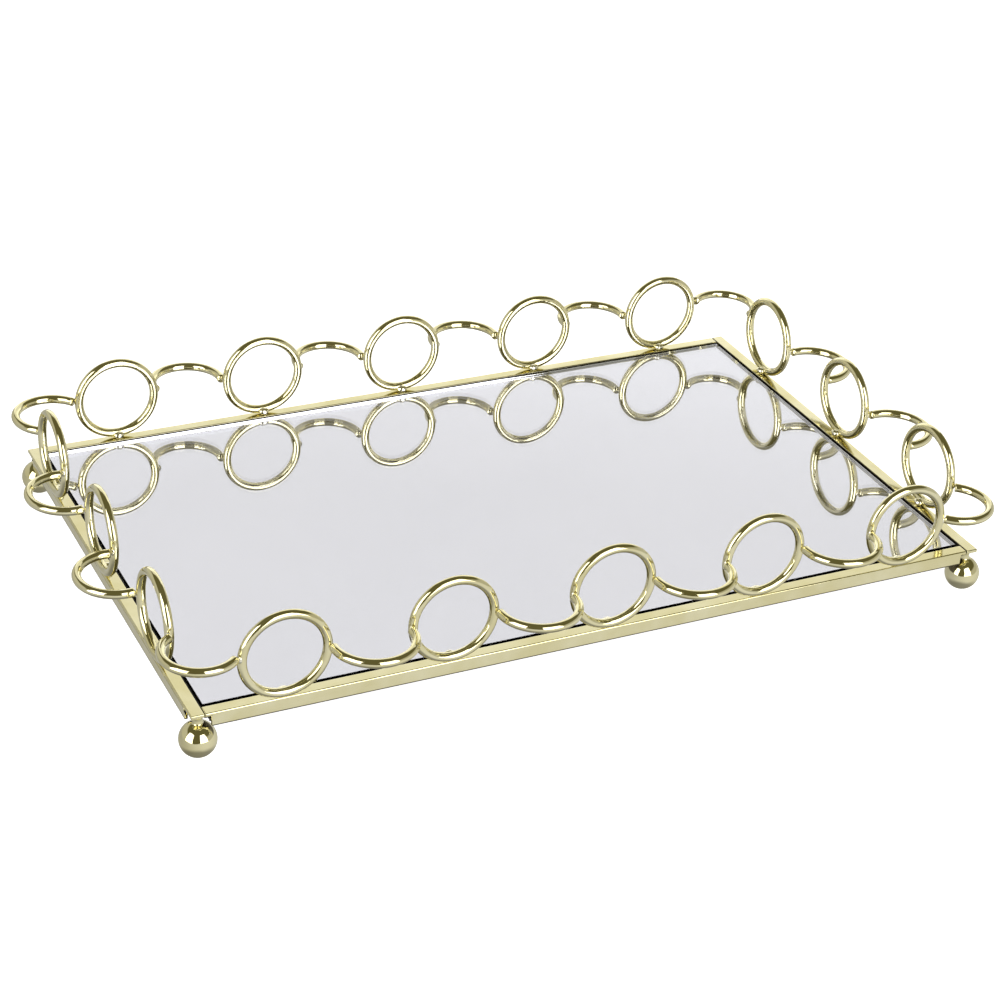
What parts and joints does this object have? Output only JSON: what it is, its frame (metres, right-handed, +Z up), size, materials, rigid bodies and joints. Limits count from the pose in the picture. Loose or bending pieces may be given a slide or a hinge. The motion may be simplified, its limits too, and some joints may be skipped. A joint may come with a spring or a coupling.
{
  "type": "dresser vanity tray",
  "caption": "Rectangular mirrored vanity tray in a gold metal frame on ball feet, with a raised gallery of wire rings joined by outward-curving wire bows.",
  "frame": {"origin": "on the floor plane, below the centre of the tray's footprint", "axes": "+X along the long side, +Y towards the rear, +Z up; the tray stands on its ball feet at z = 0"},
  "size_m": [0.4488, 0.2964, 0.0658],
  "materials": {
    "gold_frame": "bright pale gold plate with a light satin grain",
    "gold_wire": "polished pale gold plate",
    "gold_foot": "mirror-polished pale gold plate",
    "gold_weld": "plated weld beads, slightly rough",
    "mirror_glass": "clear silvered glass",
    "silvering": "grey protective back coat",
    "gasket": "black, semi-gloss",
    "backing_board": "black-faced fibreboard"
  },
  "bodies": {
    "root": {"frame_bar_front": "gold_frame", "frame_bar_right": "gold_frame", "frame_bar_rear": "gold_frame", "frame_bar_left": "gold_frame", "mirror_glass": "mirror_glass", "mirror_silvering": "silvering", "glazing_gasket": "gasket", "backing_board": "backing_board", "ball_foot_front_left": "gold_foot", "ball_foot_front_right": "gold_foot", "ball_foot_rear_right": "gold_foot", "ball_foot_rear_left": "gold_foot", "ring_front_1": "gold_wire", "ring_front_2": "gold_wire", "ring_front_3": "gold_wire", "ring_front_4": "gold_wire", "ring_front_5": "gold_wire", "ring_right_1": "gold_wire", "ring_right_2": "gold_wire", "ring_right_3": "gold_wire", "ring_rear_1": "gold_wire", "ring_rear_2": "gold_wire", "ring_rear_3": "gold_wire", "ring_rear_4": "gold_wire", "ring_rear_5": "gold_wire", "ring_left_1": "gold_wire", "ring_left_2": "gold_wire", "ring_left_3": "gold_wire", "bow_front_1": "gold_wire", "bow_front_2": "gold_wire", "bow_front_3": "gold_wire", "bow_front_4": "gold_wire", "bow_right_1": "gold_wire", "bow_right_2": "gold_wire", "bow_rear_1": "gold_wire", "bow_rear_2": "gold_wire", "bow_rear_3": "gold_wire", "bow_rear_4": "gold_wire", "bow_left_1": "gold_wire", "bow_left_2": "gold_wire", "bow_corner_front_left": "gold_wire", "bow_corner_front_right": "gold_wire", "bow_corner_rear_right": "gold_wire", "bow_corner_rear_left": "gold_wire", "ring_weld_front_1": "gold_weld", "ring_weld_front_2": "gold_weld", "ring_weld_front_3": "gold_weld", "ring_weld_front_4": "gold_weld", "ring_weld_front_5": "gold_weld", "ring_weld_right_1": "gold_weld", "ring_weld_right_2": "gold_weld", "ring_weld_right_3": "gold_weld", "ring_weld_rear_1": "gold_weld", "ring_weld_rear_2": "gold_weld", "ring_weld_rear_3": "gold_weld", "ring_weld_rear_4": "gold_weld", "ring_weld_rear_5": "gold_weld", "ring_weld_left_1": "gold_weld", "ring_weld_left_2": "gold_weld", "ring_weld_left_3": "gold_weld"}
  },
  "joints": []
}
